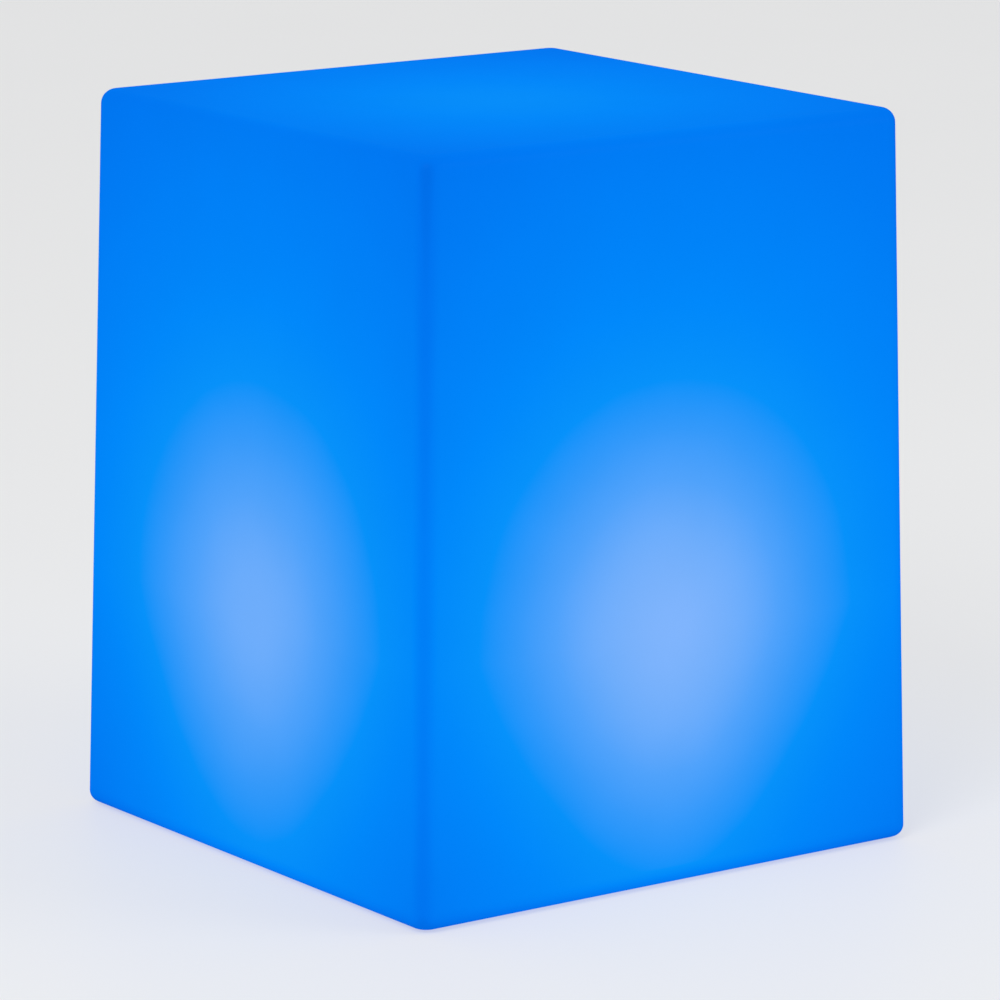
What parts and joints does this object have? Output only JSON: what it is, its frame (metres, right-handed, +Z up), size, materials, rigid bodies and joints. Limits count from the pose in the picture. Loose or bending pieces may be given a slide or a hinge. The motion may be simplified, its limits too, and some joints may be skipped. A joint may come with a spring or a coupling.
{
  "type": "led cube light",
  "caption": "Free-standing garden light: a tapered, round-edged translucent block lit from inside by a battery lamp module screwed into its recessed base.",
  "frame": {"origin": "on the ground under the middle of the body", "axes": "+Z up; -Y is the front, the right-hand face in the picture; +X to the right as seen from the front"},
  "size_m": [0.3998, 0.3998, 0.49],
  "materials": {
    "glowing_body": "satin",
    "brass": "satin",
    "black_rubber": "matte",
    "stopper_rubber": "matte",
    "white_plastic": "satin",
    "button_plastic": "satin",
    "steel": "satin",
    "circuit_board": "satin",
    "component_black": "satin",
    "switch_white": "satin",
    "nickel": "satin",
    "lead_sheath": "satin",
    "light_pipe": "gloss",
    "vent_plastic": "matte",
    "cell_wrap": "satin",
    "strap_fabric": "matte",
    "column_metal": "satin",
    "strip_board": "satin",
    "light_source": "gloss",
    "frosted_plastic": "satin"
  },
  "bodies": {
    "light": {"shell": "glowing_body", "threaded_inserts": "brass", "foot_pads": "black_rubber", "module_cover": "white_plastic", "module_gasket": "black_rubber", "module_screws": "steel", "module_housing": "white_plastic", "housing_seal": "black_rubber", "housing_screws": "steel", "control_board": "circuit_board", "board_components": "component_black", "board_screws": "steel", "power_switch": "component_black", "button_seal": "black_rubber", "charge_jack": "component_black", "jack_pin": "nickel", "jack_seal": "black_rubber", "jack_nut": "nickel", "jack_lead": "lead_sheath", "port_cover_anchor": "stopper_rubber", "status_light_pipe": "light_pipe", "vent_plug": "vent_plastic", "battery_cells": "cell_wrap", "battery_tabs": "nickel", "battery_holder": "white_plastic", "battery_screws": "steel", "battery_strap": "strap_fabric", "battery_lead": "lead_sheath", "column_foot": "column_metal", "led_column": "column_metal", "column_screws": "steel", "led_boards": "strip_board", "led_packages": "light_source", "top_led_board": "strip_board", "ir_receiver": "component_black", "lead_grommet": "black_rubber", "led_lead": "lead_sheath", "diffuser": "frosted_plastic", "diffuser_seal": "black_rubber", "diffuser_screws": "steel"},
    "power_button": {"button_cap": "button_plastic", "switch_plunger": "switch_white"},
    "port_cover": {"port_cover": "stopper_rubber"}
  },
  "joints": [
    {"name": "power_button", "type": "slide", "parent": "light", "child": "power_button", "axis": [0, 0, 1], "range_m": [0, 0.0015], "stiffness_N_per_m": 400, "springref_m": -0.001},
    {"name": "port_cover_hinge", "type": "hinge", "parent": "light", "child": "port_cover", "pos_m": [0.032, 0, 0.0129], "axis": [0, -1, 0], "range_deg": [0, 110]}
  ]
}
